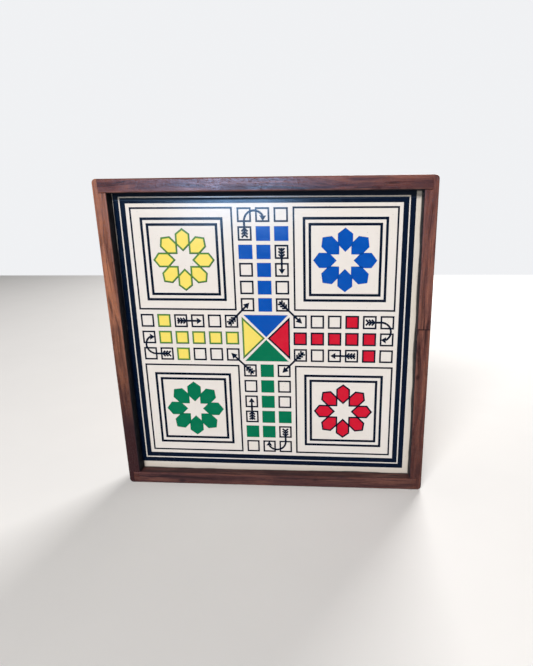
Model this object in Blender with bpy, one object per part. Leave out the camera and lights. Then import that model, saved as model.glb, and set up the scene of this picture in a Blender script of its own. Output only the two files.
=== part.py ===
"""Two-sided games board: ludo on the front face, carrom on the back face.

The board stands on its bottom rail. X is the width, Z is up, and the ludo face looks toward -Y.
Five rail pieces make the frame. Two plywood panels sit in grooves in the rails, with crossed
braces and corner blocks between them. A plastic cup sits behind each pocket hole.
"""
import math

import bmesh
import bpy

# Overall size
BOARD_WIDTH = 0.6604           # outside of one side rail to the outside of the other
BOARD_HEIGHT = 0.6604          # bottom rail's lower edge to the top rail's upper edge
FRAME_DEPTH = 0.0635           # ludo rim to carrom rim

# Frame rails
RAIL_WIDTH = 0.0265
RIM_LUDO = 0.0220              # height of the rim above the ludo face
RIM_CARROM = 0.0160            # height of the rim above the carrom face
TONGUE = 0.0110                # side rail's strip that laps over the end of the cross rails
CORNER_RADIUS = 0.0080
CORNER_STEPS = 7
ARRIS = 0.0024                 # rounding along the long edges of the rails
ARRIS_STEPS = 3
SPLICE_HEIGHT = 0.3660         # where the two pieces of the right rail meet
GAP = 0.0003                   # clearance between neighbouring pieces

# Panels
LUDO_PLY = 0.0040
CARROM_PLY = 0.0060
GROOVE_DEPTH = 0.0080
PANEL_CORNER = 0.0030          # corners of the sheets are taken off so that they slide in

# Pockets and the blocks around them
POCKET_RADIUS = 0.0222
CUP_CLEAR = 0.0002             # cup's inside is this much wider than the hole
CUP_WALL = 0.0011
CUP_FLOOR = 0.0012
CUP_ROOM = 0.0005              # between the cup and the inside of the rails
BLOCK_SIZE = 0.0800
BLOCK_NOSE = 0.0200
BLOCK_START = 0.0120           # block begins this far past the pocket centre
ROUND_STEPS = 64

# Braces between the panels
BRACE_WIDTH = 0.0300

# Nails and dowels
NAIL_RADIUS = 0.0014
NAIL_LENGTH = 0.0420
NAIL_HEAD_RADIUS = 0.0027
NAIL_HEAD = 0.0012
NAIL_SINK = 0.0004             # head lies this far under the rail's surface
NAIL_STEPS = 16
DOWEL_RADIUS = 0.0040
DOWEL_LENGTH = 0.0400
DOWEL_SPREAD = 0.0400          # dowels stand this far apart through the rail's depth
DOWEL_STEPS = 24

# Places worked out from the sizes above
HALF_WIDTH = BOARD_WIDTH / 2
HALF_DEPTH = FRAME_DEPTH / 2
INNER_HALF = HALF_WIDTH - RAIL_WIDTH
INNER_LOW = RAIL_WIDTH
INNER_HIGH = BOARD_HEIGHT - RAIL_WIDTH
MID_HEIGHT = BOARD_HEIGHT / 2
LUDO_FACE = -HALF_DEPTH + RIM_LUDO
LUDO_BACK = LUDO_FACE + LUDO_PLY
CARROM_FACE = HALF_DEPTH - RIM_CARROM
CARROM_BACK = CARROM_FACE - CARROM_PLY
CAVITY_LOW = LUDO_BACK + GAP
CAVITY_DEPTH = CARROM_BACK - GAP - CAVITY_LOW
CUP_INSIDE = POCKET_RADIUS + CUP_CLEAR
CUP_OUTSIDE = CUP_INSIDE + CUP_WALL
POCKET_INSET = CUP_OUTSIDE + CUP_ROOM
SHARP_ANGLE = math.radians(35)

LEFT, RIGHT, BOTTOM, TOP = -1, 1, -1, 1
CORNERS = (("bottom_left", LEFT, BOTTOM), ("bottom_right", RIGHT, BOTTOM),
           ("top_left", LEFT, TOP), ("top_right", RIGHT, TOP))

for old in list(bpy.data.objects):
    bpy.data.objects.remove(old, do_unlink=True)

board = bpy.data.objects.new("board", None)
bpy.context.scene.collection.objects.link(board)


def material(name, colour, roughness, metallic=0.0):
    made = bpy.data.materials.new(name)
    made.use_nodes = True
    shader = made.node_tree.nodes["Principled BSDF"]
    shader.inputs["Base Color"].default_value = (*colour, 1.0)
    shader.inputs["Roughness"].default_value = roughness
    shader.inputs["Metallic"].default_value = metallic
    made.diffuse_color = (*colour, 1.0)
    return made


def place(name, bm, surface, location=(0.0, 0.0, 0.0), turn=0.0):
    """Make the mesh an object of the board. A piece with no surface is a cutter."""
    bmesh.ops.recalc_face_normals(bm, faces=bm.faces[:])
    for face in bm.faces:
        face.smooth = True
    for edge in bm.edges:
        edge.smooth = edge.calc_face_angle(0.0) < SHARP_ANGLE
    mesh = bpy.data.meshes.new(name)
    bm.to_mesh(mesh)
    bm.free()
    made = bpy.data.objects.new(name, mesh)
    made.parent = board
    made.location = location
    made.rotation_euler = (0.0, 0.0, turn)
    bpy.context.scene.collection.objects.link(made)
    if surface is None:
        made.hide_render = True
        made.display_type = "WIRE"
    else:
        mesh.materials.append(surface)
    return made


def cut(piece, cutter):
    """Take the cutter's shape out of the piece."""
    tool = piece.modifiers.new(cutter.name, "BOOLEAN")
    tool.operation = "DIFFERENCE"
    tool.solver = "EXACT"
    tool.object = cutter


def joined_rings(rings):
    """Skin over rings of points, with a flat face on the first and on the last."""
    bm = bmesh.new()
    rings = [[bm.verts.new(point) for point in ring] for ring in rings]
    bm.faces.new(rings[0])
    bm.faces.new(list(reversed(rings[-1])))
    count = len(rings[0])
    for near, far in zip(rings, rings[1:]):
        for here in range(count):
            after = (here + 1) % count
            bm.faces.new((near[after], near[here], far[here], far[after]))
    return bm


def layered_mesh(layers):
    """A flat piece from (depth, outline) layers; an outline is a list of X and Z."""
    return joined_rings([[(x, depth, z) for x, z in outline] for depth, outline in layers])


def box_mesh(width, depth, height, low=(0.0, 0.0, 0.0)):
    x, y, z = low
    outline = ((x, z), (x + width, z), (x + width, z + height), (x, z + height))
    return layered_mesh(((y, outline), (y + depth, outline)))


def turned_mesh(profile, axis, steps):
    """A turned piece along the X, Y or Z axis, from (distance along the axis, radius) pairs."""
    rings = []
    for along, radius in profile:
        ring = []
        for step in range(steps):
            turn = 2 * math.pi * step / steps
            point = [radius * math.cos(turn), radius * math.sin(turn)]
            point.insert("XYZ".index(axis), along)
            ring.append(point)
        rings.append(ring)
    return joined_rings(rings)


def arc(centre_x, centre_z, radius, from_degrees, to_degrees, steps):
    points = []
    for step in range(steps + 1):
        turn = math.radians(from_degrees + (to_degrees - from_degrees) * step / steps)
        points.append((centre_x + radius * math.cos(turn), centre_z + radius * math.sin(turn)))
    return points


# Rails: each is the full depth of the frame, with its long edges rounded front and back.

def rail_mesh(outline_at):
    """outline_at(inset) gives the rail's outline with its open edges drawn in by the inset."""
    turns = [math.pi / 2 * step / ARRIS_STEPS for step in range(ARRIS_STEPS + 1)]
    rounding = [(ARRIS * (1 - math.cos(turn)), ARRIS * (1 - math.sin(turn))) for turn in turns]
    front = [(-HALF_DEPTH + rise, outline_at(inset)) for inset, rise in reversed(rounding)]
    back = [(HALF_DEPTH - rise, outline_at(inset)) for inset, rise in rounding]
    return layered_mesh(front + back)


def side_rail_outline(side, low, high, inset):
    """low and high are (kind, height) for the ends: lapped has a tongue, butted is square."""
    outer = side * (HALF_WIDTH - inset)
    inner = side * (INNER_HALF + inset)
    step_x = side * (HALF_WIDTH - TONGUE)
    arc_x = side * (HALF_WIDTH - CORNER_RADIUS)
    radius = CORNER_RADIUS - inset
    kind, height = high
    if kind == "lapped":
        shoulder = height - RAIL_WIDTH - GAP
        points = [(inner, shoulder), (step_x, shoulder), (step_x, height - inset)]
        points += arc(arc_x, height - CORNER_RADIUS, radius, 90, 90 - side * 90, CORNER_STEPS)
    else:
        points = [(inner, height), (outer, height)]
    kind, height = low
    if kind == "lapped":
        shoulder = height + RAIL_WIDTH + GAP
        points += arc(arc_x, height + CORNER_RADIUS, radius, 90 - side * 90, 90 - side * 180,
                      CORNER_STEPS)
        points += [(step_x, height + inset), (step_x, shoulder), (inner, shoulder)]
    else:
        points += [(outer, height), (inner, height)]
    return points


def side_rail(name, side, low, high, wood):
    return place(name, rail_mesh(lambda inset: side_rail_outline(side, low, high, inset)), wood)


def cross_rail(name, height, wood):
    reach = HALF_WIDTH - TONGUE - GAP
    return place(name, rail_mesh(lambda inset: (
        (-reach, inset), (reach, inset), (reach, RAIL_WIDTH - inset),
        (-reach, RAIL_WIDTH - inset))), wood, (0.0, 0.0, height))


rail_wood = material("rail_wood", (0.150, 0.062, 0.040), 0.30)
rail_wood_pale = material("rail_wood_pale", (0.190, 0.078, 0.045), 0.30)
foot, head = ("lapped", 0.0), ("lapped", BOARD_HEIGHT)
splice_under, splice_over = ("butted", SPLICE_HEIGHT - GAP / 2), ("butted", SPLICE_HEIGHT + GAP / 2)
rail_left = side_rail("rail_left", LEFT, foot, head, rail_wood)
rail_lower = side_rail("rail_right_lower", RIGHT, foot, splice_under, rail_wood_pale)
rail_upper = side_rail("rail_right_upper", RIGHT, splice_over, head, rail_wood)
rail_bottom = cross_rail("rail_bottom", 0.0, rail_wood)
rail_top = cross_rail("rail_top", INNER_HIGH, rail_wood)

# Grooves: a bar as long as the frame cuts each one, open at both ends where the rails meet.
side_pieces = {LEFT: (rail_left,), RIGHT: (rail_lower, rail_upper)}
cross_pieces = {BOTTOM: (rail_bottom,), TOP: (rail_top,)}
BAR_WIDTH = 2 * GROOVE_DEPTH
for groove, face, sheet in (("ludo", LUDO_FACE, LUDO_PLY), ("carrom", CARROM_BACK, CARROM_PLY)):
    slot_low, slot_depth = face - GAP, sheet + 2 * GAP
    for side, rails in side_pieces.items():
        bar = place(f"groove_{groove}_{side}", box_mesh(
            BAR_WIDTH, slot_depth, BOARD_HEIGHT + 2 * RAIL_WIDTH,
            (-BAR_WIDTH / 2, slot_low, -RAIL_WIDTH)), None, (side * INNER_HALF, 0.0, 0.0))
        for rail in rails:
            cut(rail, bar)
    for end, rails in cross_pieces.items():
        height = INNER_LOW if end == BOTTOM else INNER_HIGH
        bar = place(f"groove_{groove}_cross_{end}", box_mesh(
            BOARD_WIDTH + 2 * RAIL_WIDTH, slot_depth, BAR_WIDTH,
            (-HALF_WIDTH - RAIL_WIDTH, slot_low, -BAR_WIDTH / 2)), None, (0.0, 0.0, height))
        for rail in rails:
            cut(rail, bar)


# Sheets: both reach into the grooves on all four sides.

def sheet_mesh(thickness):
    reach_x = INNER_HALF + GROOVE_DEPTH - GAP
    reach_z = MID_HEIGHT - RAIL_WIDTH + GROOVE_DEPTH - GAP
    chip_x, chip_z = reach_x - PANEL_CORNER, reach_z - PANEL_CORNER
    outline = ((-chip_x, -reach_z), (chip_x, -reach_z), (reach_x, -chip_z), (reach_x, chip_z),
               (chip_x, reach_z), (-chip_x, reach_z), (-reach_x, chip_z), (-reach_x, -chip_z))
    return layered_mesh(((0.0, outline), (thickness, outline)))


def pocket_centre(side, end):
    edge = INNER_LOW if end == BOTTOM else INNER_HIGH
    return side * (INNER_HALF - POCKET_INSET), edge - end * POCKET_INSET


ludo_face_ply = material("ludo_face_ply", (0.820, 0.780, 0.720), 0.35)
carrom_face_ply = material("carrom_face_ply", (0.720, 0.520, 0.300), 0.30)
place("ludo_panel", sheet_mesh(LUDO_PLY), ludo_face_ply, (0.0, LUDO_FACE, MID_HEIGHT))
carrom_panel = place("carrom_panel", sheet_mesh(CARROM_PLY), carrom_face_ply,
                     (0.0, CARROM_BACK, MID_HEIGHT))
for corner, side, end in CORNERS:
    x, z = pocket_centre(side, end)
    hole = turned_mesh(((-CARROM_PLY, POCKET_RADIUS), (2 * CARROM_PLY, POCKET_RADIUS)), "Y",
                       ROUND_STEPS)
    cut(carrom_panel, place(f"hole_{corner}", hole, None, (x, CARROM_BACK, z)))


# Braces: two bars crossed at the middle; each loses half its depth at the crossing.

inner_wood = material("inner_wood", (0.560, 0.400, 0.230), 0.70)
brace_centre = (0.0, CAVITY_LOW, MID_HEIGHT)
brace_rise = BOARD_HEIGHT - 2 * (RAIL_WIDTH + GAP)
brace_run = 2 * (INNER_HALF - GAP)
brace_upright = place("brace_upright", box_mesh(
    BRACE_WIDTH, CAVITY_DEPTH, brace_rise, (-BRACE_WIDTH / 2, 0.0, -brace_rise / 2)),
    inner_wood, brace_centre)
brace_across = place("brace_across", box_mesh(
    brace_run, CAVITY_DEPTH, BRACE_WIDTH, (-brace_run / 2, 0.0, -BRACE_WIDTH / 2)),
    inner_wood, brace_centre)
lap_room = BRACE_WIDTH + 2 * GAP
lap_reach = 2 * BRACE_WIDTH
cut(brace_upright, place("lap_upright", box_mesh(
    lap_reach, CAVITY_DEPTH, lap_room,
    (-lap_reach / 2, (CAVITY_DEPTH - GAP) / 2, -lap_room / 2)), None, brace_centre))
cut(brace_across, place("lap_across", box_mesh(
    lap_room, CAVITY_DEPTH, lap_reach,
    (-lap_room / 2, (-CAVITY_DEPTH + GAP) / 2, -lap_reach / 2)), None, brace_centre))


# Corner blocks: each hugs a pocket cup and keeps the two sheets apart.

def block_mesh(side, end):
    reach = CUP_OUTSIDE + GAP
    start = POCKET_INSET + BLOCK_START
    dip = math.degrees(math.asin(BLOCK_START / reach))
    outline = [(GAP, start)]
    outline += arc(POCKET_INSET, POCKET_INSET, reach, 180 - dip, dip - 90, ROUND_STEPS // 3)
    outline += [(start, GAP), (BLOCK_SIZE, GAP), (BLOCK_SIZE, BLOCK_NOSE),
                (BLOCK_NOSE, BLOCK_SIZE), (GAP, BLOCK_SIZE)]
    outline = [(-side * across, -end * up) for across, up in outline]
    return layered_mesh(((0.0, outline), (CAVITY_DEPTH, outline)))


for corner, side, end in CORNERS:
    edge = INNER_LOW if end == BOTTOM else INNER_HIGH
    place(f"corner_block_{corner}", block_mesh(side, end), inner_wood,
          (side * INNER_HALF, CAVITY_LOW, edge))

# Pocket cups: shallow tubs with the mouth behind the pocket hole.
black_plastic = material("black_plastic", (0.020, 0.020, 0.022), 0.45)
cup_profile = ((0.0, CUP_OUTSIDE), (CAVITY_DEPTH, CUP_OUTSIDE), (CAVITY_DEPTH, CUP_INSIDE),
               (CUP_FLOOR, CUP_INSIDE))
for corner, side, end in CORNERS:
    x, z = pocket_centre(side, end)
    place(f"pocket_cup_{corner}", turned_mesh(cup_profile, "Y", ROUND_STEPS), black_plastic,
          (x, CAVITY_LOW, z))

# Corner nails: two at each corner, driven through the tongue into the end of the cross rail.
nail_steel = material("nail_steel", (0.420, 0.410, 0.400), 0.40, 1.0)
head_under = NAIL_SINK + NAIL_HEAD
nail_end = NAIL_SINK + NAIL_LENGTH
nail_profile = ((NAIL_SINK, NAIL_HEAD_RADIUS), (head_under, NAIL_HEAD_RADIUS),
                (head_under, NAIL_RADIUS), (nail_end, NAIL_RADIUS))
hole_profile = ((-NAIL_HEAD, NAIL_HEAD_RADIUS + GAP), (head_under + GAP, NAIL_HEAD_RADIUS + GAP),
                (head_under + GAP, NAIL_RADIUS + GAP), (nail_end + GAP, NAIL_RADIUS + GAP))
nail_depths = {"front": (LUDO_FACE - HALF_DEPTH) / 2, "back": (CARROM_FACE + HALF_DEPTH) / 2}
nailed_rails = {(LEFT, BOTTOM): (rail_left, rail_bottom), (LEFT, TOP): (rail_left, rail_top),
                (RIGHT, BOTTOM): (rail_lower, rail_bottom), (RIGHT, TOP): (rail_upper, rail_top)}
for corner, side, end in CORNERS:
    height = RAIL_WIDTH / 2 if end == BOTTOM else BOARD_HEIGHT - RAIL_WIDTH / 2
    turn = math.pi if side == RIGHT else 0.0
    for label, depth in nail_depths.items():
        spot = (side * HALF_WIDTH, depth, height)
        place(f"nail_{corner}_{label}", turned_mesh(nail_profile, "X", NAIL_STEPS), nail_steel,
              spot, turn)
        drill = place(f"drill_{corner}_{label}", turned_mesh(hole_profile, "X", NAIL_STEPS), None,
                      spot, turn)
        for rail in nailed_rails[(side, end)]:
            cut(rail, drill)

# Splice dowels: two of them hold the two pieces of the right rail end to end.
dowel_x = HALF_WIDTH - (RAIL_WIDTH - GROOVE_DEPTH) / 2
half_dowel = DOWEL_LENGTH / 2
half_bore = half_dowel + GAP
for label, depth in (("front", -DOWEL_SPREAD / 2), ("back", DOWEL_SPREAD / 2)):
    spot = (dowel_x, depth, SPLICE_HEIGHT)
    place(f"splice_dowel_{label}", turned_mesh(
        ((-half_dowel, DOWEL_RADIUS), (half_dowel, DOWEL_RADIUS)), "Z", DOWEL_STEPS),
        inner_wood, spot)
    bore = place(f"dowel_bore_{label}", turned_mesh(
        ((-half_bore, DOWEL_RADIUS + GAP), (half_bore, DOWEL_RADIUS + GAP)), "Z", DOWEL_STEPS),
        None, spot)
    cut(rail_lower, bore)
    cut(rail_upper, bore)
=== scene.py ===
"""Visual model of a two-sided games board: ludo on the front, carrom on the back.

The board stands on its bottom rail. X is the width, Z is up, and the ludo face looks toward -Y.
"""
import math

import bmesh
import bpy
from mathutils import Matrix, Vector, noise


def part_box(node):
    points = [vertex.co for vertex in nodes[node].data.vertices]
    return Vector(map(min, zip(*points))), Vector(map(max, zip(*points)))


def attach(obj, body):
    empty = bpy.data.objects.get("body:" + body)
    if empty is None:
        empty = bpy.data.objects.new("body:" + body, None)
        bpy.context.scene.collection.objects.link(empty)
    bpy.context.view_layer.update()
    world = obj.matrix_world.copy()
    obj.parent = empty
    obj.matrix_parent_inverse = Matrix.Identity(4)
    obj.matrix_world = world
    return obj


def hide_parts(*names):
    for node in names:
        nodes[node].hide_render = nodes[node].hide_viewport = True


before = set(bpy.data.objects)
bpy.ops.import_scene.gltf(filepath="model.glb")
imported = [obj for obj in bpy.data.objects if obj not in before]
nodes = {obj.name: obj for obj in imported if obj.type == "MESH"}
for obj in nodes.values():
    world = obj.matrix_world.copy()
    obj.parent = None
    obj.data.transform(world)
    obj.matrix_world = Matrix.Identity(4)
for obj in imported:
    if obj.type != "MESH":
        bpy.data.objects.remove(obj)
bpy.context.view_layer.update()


# ---------------------------------------------------------------------------------------------
# The setting: a pale floor, a cool window ahead and to the left that only glints in the varnish, a
# warm lamp high in front that gives most of the light, and one behind. The camera stands a little
# under a metre away, right of the middle, and looks slightly down.

def wire(tree, kind, inputs=None, **settings):
    """Put a node in the tree. An input takes a value, or another node's output to link from."""
    made = tree.nodes.new(kind)
    for name, value in settings.items():
        setattr(made, name, value)
    for socket, value in (inputs or {}).items():
        if isinstance(value, bpy.types.NodeSocket):
            tree.links.new(value, made.inputs[socket])
        else:
            made.inputs[socket].default_value = value
    return made


def finish_of(name, **values):
    """A material with a plain shader, its constant values set on the shader's own sockets."""
    made = bpy.data.materials.new(name)
    made.use_nodes = True
    tree = made.node_tree
    shader = tree.nodes["Principled BSDF"]
    for socket, value in values.items():
        shader.inputs[socket.replace("_", " ")].default_value = value
    return made, tree, shader


def object_coordinates(tree, turn=(0.0, 0.0, 0.0), move=(0.0, 0.0, 0.0)):
    """The piece's own coordinates, turned and moved so that a pattern sits well on it."""
    source = wire(tree, "ShaderNodeTexCoord").outputs["Object"]
    return wire(tree, "ShaderNodeMapping",
                {"Vector": source, "Rotation": turn, "Location": move}).outputs["Vector"]


def mottled(tree, at, scale, detail=2.0, rough=0.5, bent=0.0):
    """Noise from 0 to 1 over the surface; a larger scale gives smaller patches."""
    made = wire(tree, "ShaderNodeTexNoise", {"Vector": at, "Scale": scale, "Detail": detail,
                                             "Roughness": rough, "Distortion": bent})
    return made.outputs["Fac"]


def ramp(tree, value, low, high, to_low=0.0, to_high=1.0):
    """Carry a value over from the range low to high to the range to_low to to_high."""
    made = wire(tree, "ShaderNodeMapRange", {"Value": value, "From Min": low, "From Max": high,
                                             "To Min": to_low, "To Max": to_high})
    return made.outputs["Result"]


def set_down(name, data):
    """A new object in the scene."""
    made = bpy.data.objects.new(name, data)
    bpy.context.scene.collection.objects.link(made)
    return made


FLOOR_REACH = 3.4
ROOM_LIGHT, ROOM_SEEN = 0.06, 0.90         # what the room adds to the light, and how pale it looks
bm = bmesh.new()
bmesh.ops.create_grid(bm, x_segments=8, y_segments=8, size=FLOOR_REACH)
floor_mesh = bpy.data.meshes.new("floor")
bm.to_mesh(floor_mesh)
bm.free()
floor = set_down("floor", floor_mesh)
floor_paint, tree, shader = finish_of("floor_paint", Roughness=0.75)
tone = ramp(tree, mottled(tree, object_coordinates(tree), 6.0), 0.0, 1.0, 0.80, 0.83)
tree.links.new(tone, shader.inputs["Base Color"])
floor_mesh.materials.append(floor_paint)
floor.visible_glossy = False

world = bpy.data.worlds.new("pale_room")
world.use_nodes = True
sky = world.node_tree.nodes["Background"]
sky.inputs["Color"].default_value = (0.97, 0.98, 1.0, 1.0)
seen = wire(world.node_tree, "ShaderNodeLightPath").outputs["Is Camera Ray"]
glow = ramp(world.node_tree, seen, 0.0, 1.0, ROOM_LIGHT, ROOM_SEEN)
world.node_tree.links.new(glow, sky.inputs["Strength"])
bpy.context.scene.world = world


def lamp(name, place, aim, width, height, power, colour):
    made = bpy.data.lights.new(name, "AREA")
    made.shape = "RECTANGLE"
    made.size, made.size_y = width, height
    made.energy, made.color = power, colour
    holder = set_down(name, made)
    holder.location = place
    holder.rotation_euler = (Vector(aim) - Vector(place)).to_track_quat("-Z", "Y").to_euler()
    return holder


BOARD_MIDDLE = (0.0, 0.0, 0.30)
window = lamp("window", (-0.72, -3.00, 1.02), (-0.72, 0.0, 1.02), 0.85, 0.90, 42.0,
              (0.32, 0.59, 1.0))
window.visible_diffuse = False
front_lamp = lamp("front_lamp", (-1.00, -4.50, 3.60), BOARD_MIDDLE, 2.60, 1.60, 330.0,
                  (1.0, 0.965, 0.93))
front_lamp.visible_glossy = False
lamp("back_lamp", (1.50, 4.20, 2.80), BOARD_MIDDLE, 2.60, 1.60, 260.0, (1.0, 0.97, 0.94))

camera_data = bpy.data.cameras.new("camera")
camera_data.lens, camera_data.sensor_width = 25.27, 36.0
camera_data.shift_x, camera_data.shift_y = -0.0689, 0.0111
camera = set_down("camera", camera_data)
camera.location = (0.15121, -0.95031, 0.60267)
camera.rotation_euler = [math.radians(turn) for turn in (74.197, 0.511, 3.491)]
bpy.context.scene.camera = camera
bpy.context.scene.view_settings.view_transform = "Standard"


# ---------------------------------------------------------------------------------------------
# Rails: five sticks of dark red-brown hardwood, lacquered. The side rails run the full height and
# lap over the ends of the top and bottom rails. Both sheets slide into grooves on the inside.
# The right rail was made up from a short piece and a long one, doweled end to end.

BOARD = 0.6604                 # outside width, and outside height
DEPTH = 0.0635                 # ludo rim to carrom rim
RAIL_WIDTH = 0.0265
TONGUE = 0.0110
CORNER_RADIUS = 0.0080
CORNER_STEPS = 14
ARRIS = 0.0024
ARRIS_STEPS = 7
SHOULDER = 0.0014              # a last ring this far in from the rounding keeps the flats flat
WEAR = 0.0006                  # the rounding grows by up to this much where hands have worn it
SAMPLE = 0.0090                # spacing of the points along a rail
SPLICE_HEIGHT = 0.3660
SHARP = math.radians(35.0)     # edges past this angle show as edges
GAP = 0.0003
GROOVE_DEPTH = 0.0080
HALF, HALF_DEPTH = BOARD / 2, DEPTH / 2
INNER = HALF - RAIL_WIDTH
ludo_low, ludo_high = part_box("ludo_panel")
carrom_low, carrom_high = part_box("carrom_panel")
LUDO_FACE, CARROM_FACE = ludo_low.y, carrom_high.y
GROOVES = ((ludo_low.y - GAP, ludo_high.y + GAP), (carrom_low.y - GAP, carrom_high.y + GAP))


def mesh_of(bm, name, sharp=None):
    """The mesh, its faces outwards; given a sharp angle, it is smooth but for edges past that."""
    bmesh.ops.recalc_face_normals(bm, faces=bm.faces[:])
    if sharp is not None:
        for face in bm.faces:
            face.smooth = True
        for edge in bm.edges:
            edge.smooth = edge.calc_face_angle(0.0) < sharp
    mesh = bpy.data.meshes.new(name)
    bm.to_mesh(mesh)
    bm.free()
    return mesh


def solid(name, bm, finish=None):
    """Make the mesh a piece, smooth but for its sharp edges."""
    mesh = mesh_of(bm, name, SHARP)
    if finish is not None:
        mesh.materials.append(finish)
    return set_down(name, mesh)


def joined_rings(rings, marks=None):
    """Skin over rings of points, closed by a flat face at each end; marks go on the points."""
    bm = bmesh.new()
    layer = bm.verts.layers.float.new("edge_wear") if marks else None
    made = []
    for number, ring in enumerate(rings):
        made.append([bm.verts.new(point) for point in ring])
        if marks:
            for vert in made[-1]:
                vert[layer] = marks[number]
    bm.faces.new(made[0])
    bm.faces.new(list(reversed(made[-1])))
    count = len(made[0])
    for near, far in zip(made, made[1:]):
        for here in range(count):
            after = (here + 1) % count
            bm.faces.new((near[after], near[here], far[here], far[after]))
    return bm


def arc(centre_x, centre_z, radius, start, end, steps):
    turns = [math.radians(start + (end - start) * step / steps) for step in range(steps + 1)]
    return [(centre_x + radius * math.cos(turn), centre_z + radius * math.sin(turn))
            for turn in turns]


def stretch(start, end):
    """Points between two ends of a straight edge, not counting the ends."""
    steps = max(2, round(math.dist(start, end) / SAMPLE))
    return [tuple(a + (b - a) * step / steps for a, b in zip(start, end))
            for step in range(1, steps)]


def worn(along, seed, inset):
    """How far the rounding is worn in here; it fades to nothing on the side of the rail."""
    slow = noise.noise(Vector((along * 14.0, seed, 0.3)))
    quick = noise.noise(Vector((along * 70.0, seed, 7.1)))
    return WEAR * (0.5 + 0.35 * slow + 0.15 * quick) * inset / ARRIS


def side_rail_outline(side, low, high, inset, groove, seed):
    """low and high are (kind, height) for the ends: lapped has a tongue, butted is square."""
    outer = side * (HALF - inset)
    inner = side * (INNER + inset + groove)
    step_x = side * (HALF - TONGUE)
    arc_x = side * (HALF - CORNER_RADIUS)
    radius = CORNER_RADIUS - inset
    kind, height = high
    if kind == "lapped":
        upper = height - RAIL_WIDTH - GAP
        points = [(inner, upper), (step_x, upper), (step_x, height - inset)]
        points += arc(arc_x, height - CORNER_RADIUS, radius, 90, 90 - side * 90, CORNER_STEPS)
    else:
        upper = height
        points = [(inner, height), (outer, height)]
    kind, height = low
    if kind == "lapped":
        lower = height + RAIL_WIDTH + GAP
        foot = arc(arc_x, height + CORNER_RADIUS, radius, 90 - side * 90, 90 - side * 180,
                   CORNER_STEPS)
        foot += [(step_x, height + inset), (step_x, lower), (inner, lower)]
    else:
        lower = height
        foot = [(outer, height), (inner, height)]
    run = [(x - side * worn(z, seed, inset), z) for x, z in stretch(points[-1], foot[0])]
    back = [(x + side * worn(z, seed + 5.0, inset), z)
            for x, z in stretch((inner, lower), (inner, upper))]
    return points + run + foot + back


def cross_rail_outline(height, end, inset, groove, seed):
    """end is -1 for the bottom rail and 1 for the top rail."""
    reach = HALF - TONGUE - GAP
    under = height + inset + (groove if end > 0 else 0.0)
    over = height + RAIL_WIDTH - inset - (groove if end < 0 else 0.0)
    low_run = [(x, z + worn(x, seed, inset)) for x, z in stretch((-reach, under), (reach, under))]
    high_run = [(x, z - worn(x, seed + 5.0, inset))
                for x, z in stretch((reach, over), (-reach, over))]
    return [(-reach, under)] + low_run + [(reach, under), (reach, over)] + high_run + [
        (-reach, over)]


def rail_mesh(outline_at):
    """Rings from front to back: the front rounding, the two grooves, and the back rounding."""
    turns = [math.pi / 2 * step / ARRIS_STEPS for step in range(ARRIS_STEPS + 1)]
    rounding = [(ARRIS * (1 - math.cos(turn)), ARRIS * (1 - math.sin(turn))) for turn in turns]
    flat = ARRIS + SHOULDER
    # Each ring is its depth, how far it is drawn in, how deep its groove is, and its edge wear.
    rings = [(-HALF_DEPTH, flat, 0.0, 0.0)]
    rings += [(-HALF_DEPTH + rise, inset, 0.0, 1.0) for inset, rise in reversed(rounding)]
    rings.append((-HALF_DEPTH + flat, 0.0, 0.0, 0.0))
    for start, end in GROOVES:
        rings += [(start, 0.0, 0.0, 0.0), (start, 0.0, GROOVE_DEPTH, 0.0),
                  (end, 0.0, GROOVE_DEPTH, 0.0), (end, 0.0, 0.0, 0.0)]
    rings.append((HALF_DEPTH - flat, 0.0, 0.0, 0.0))
    rings += [(HALF_DEPTH - rise, inset, 0.0, 1.0) for inset, rise in rounding]
    rings.append((HALF_DEPTH, flat, 0.0, 0.0))
    points = [[(x, depth, z) for x, z in outline_at(inset, groove)]
              for depth, inset, groove, wear in rings]
    return joined_rings(points, [ring[-1] for ring in rings])


def shader_group(name, inputs, outputs):
    """A node group; inputs are (name, kind, value) and outputs are (name, kind)."""
    tree = bpy.data.node_groups.new(name, "ShaderNodeTree")
    for label, kind, value in inputs:
        socket = tree.interface.new_socket(
            name=label, in_out="INPUT", socket_type="NodeSocket" + kind)
        if value is not None:
            socket.default_value = value
    for label, kind in outputs:
        tree.interface.new_socket(name=label, in_out="OUTPUT", socket_type="NodeSocket" + kind)
    return tree, tree.nodes.new("NodeGroupInput").outputs, tree.nodes.new("NodeGroupOutput").inputs


def blend_colours(tree, share, first, second):
    """Mix two colours; each is a node's output, or three plain numbers."""
    first, second = [tone if isinstance(tone, bpy.types.NodeSocket) else (*tone, 1.0)
                     for tone in (first, second)]
    return wire(tree, "ShaderNodeMix", {0: share, 6: first, 7: second},
                data_type="RGBA").outputs[2]


def sums(tree, operation, first, second=0.0):
    return wire(tree, "ShaderNodeMath", {0: first, 1: second}, operation=operation).outputs[0]


def times(tree, first, second):
    return sums(tree, "MULTIPLY", first, second)


def drawn_out(tree, at, shares):
    """Coordinates times these shares; a pattern runs long on an axis that has a small share."""
    return wire(tree, "ShaderNodeVectorMath", {0: at, 1: shares}, operation="MULTIPLY").outputs[0]


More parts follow.
